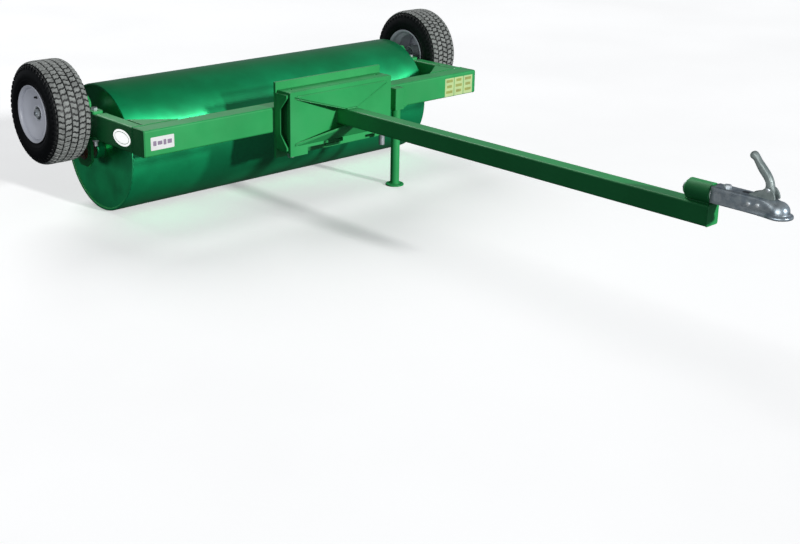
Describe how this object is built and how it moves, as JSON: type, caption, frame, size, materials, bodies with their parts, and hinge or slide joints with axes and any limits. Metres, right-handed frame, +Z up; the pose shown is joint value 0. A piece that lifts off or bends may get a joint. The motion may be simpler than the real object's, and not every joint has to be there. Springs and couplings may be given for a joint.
{
  "type": "towed drum roller",
  "caption": "Towed ballast drum roller for grass, with a U-shaped frame, two transport wheels, a pinned drawbar with ball coupling and a clamped parking leg.",
  "frame": {"origin": "on the ground, midway between the coupling nose and the back of the drum, on the centre line", "axes": "+X to the right along the drum axis when looking from the hitch, +Y back from the hitch to the drum, +Z up"},
  "size_m": [2.095, 2.7318, 0.626],
  "materials": {
    "drum_green": "deep gloss enamel",
    "frame_green": "semi-gloss enamel",
    "bare_steel": "bare, lightly rusted",
    "zinc": "bright zinc plating",
    "spring_steel": "oiled spring wire",
    "cast_grey": "grey zinc over casting",
    "rim_grey": "satin silver-grey paint",
    "tyre": "dusty tread, dark sidewalls",
    "black_rubber": "matt",
    "bronze": "plain bush"
  },
  "bodies": {
    "frame": {"beam_end_caps": "frame_green", "bracket_back_plate": "frame_green", "bracket_bottom_flange": "frame_green", "bracket_side_plates": "frame_green", "bracket_top_flange": "frame_green", "corner_gussets": "frame_green", "coupling_socket": "frame_green", "crossbeam": "frame_green", "drawbar_end_cap": "frame_green", "drawbar_tube": "frame_green", "hanger_bolts": "zinc", "hanger_lugs": "frame_green", "hanger_tongues": "frame_green", "hex_nuts": "zinc", "left_arm": "frame_green", "left_bearing_bush": "bronze", "left_bearing_housing": "bare_steel", "left_hanger_plate": "frame_green", "left_wheel_axle": "zinc", "leg_sleeve": "frame_green", "lower_brace": "frame_green", "mount_bottom_ears": "frame_green", "mount_plate": "frame_green", "mount_top_flange": "frame_green", "pin_tubes": "frame_green", "right_arm": "frame_green", "right_bearing_bush": "bronze", "right_bearing_housing": "bare_steel", "right_hanger_plate": "frame_green", "right_wheel_axle": "zinc", "upper_brace": "frame_green", "wheel_end_nuts": "zinc"},
    "drum": {"drum_shell": "drum_green", "left_end_disc": "drum_green", "right_end_disc": "drum_green", "drum_axle": "bare_steel", "drum_hub_bosses": "drum_green", "filler_plug": "zinc"},
    "left_wheel": {"left_tyre": "tyre", "left_rim": "rim_grey", "left_hub": "rim_grey", "left_wheel_bearings": "bare_steel", "left_valve": "black_rubber"},
    "right_wheel": {"right_tyre": "tyre", "right_rim": "rim_grey", "right_hub": "rim_grey", "right_wheel_bearings": "bare_steel", "right_valve": "black_rubber"},
    "left_pin": {"left_drawbar_pin": "zinc"},
    "right_pin": {"right_drawbar_pin": "zinc"},
    "coupling": {"coupling_body": "zinc", "coupling_shank": "zinc", "shank_retainer": "zinc", "coupling_pins": "zinc", "jaw_spring": "spring_steel"},
    "handle": {"coupling_handle": "cast_grey"},
    "jaw": {"coupling_jaw": "zinc"},
    "leg": {"leg_tube": "frame_green", "leg_foot": "frame_green"},
    "leg_screw": {"leg_clamp_screw": "frame_green"}
  },
  "joints": [
    {"name": "drum_spin", "type": "hinge", "parent": "frame", "child": "drum", "pos_m": [0, 1.112, 0.254], "axis": [1, 0, 0], "continuous": true},
    {"name": "left_wheel_spin", "type": "hinge", "parent": "frame", "child": "left_wheel", "pos_m": [-0.967, 1.123, 0.428], "axis": [1, 0, 0], "continuous": true},
    {"name": "right_wheel_spin", "type": "hinge", "parent": "frame", "child": "right_wheel", "pos_m": [0.967, 1.123, 0.428], "axis": [1, 0, 0], "continuous": true},
    {"name": "left_pin_pull", "type": "slide", "parent": "frame", "child": "left_pin", "axis": [0, 0, -1], "range_m": [0, 0.2]},
    {"name": "right_pin_pull", "type": "slide", "parent": "frame", "child": "right_pin", "axis": [0, 0, -1], "range_m": [0, 0.2]},
    {"name": "coupling_swivel", "type": "hinge", "parent": "frame", "child": "coupling", "pos_m": [0, -1.068, 0.4415], "axis": [0, 1, 0], "range_deg": [-30, 30]},
    {"name": "handle_lift", "type": "hinge", "parent": "coupling", "child": "handle", "pos_m": [0, -1.294, 0.495], "axis": [1, 0, 0], "range_deg": [-40, 20]},
    {"name": "jaw_swing", "type": "hinge", "parent": "coupling", "child": "jaw", "pos_m": [0, -1.273, 0.448], "axis": [1, 0, 0], "range_deg": [-6, 3]},
    {"name": "leg_slide", "type": "slide", "parent": "frame", "child": "leg", "axis": [0, 0, 1], "range_m": [0, 0.16]},
    {"name": "leg_screw_turn", "type": "hinge", "parent": "frame", "child": "leg_screw", "pos_m": [0.39, 0.611, 0.343], "axis": [1, 0, 0], "continuous": true}
  ],
  "couplings": [
    {"joint": "jaw_swing", "follows": "handle_lift", "ratio": 0.15}
  ]
}
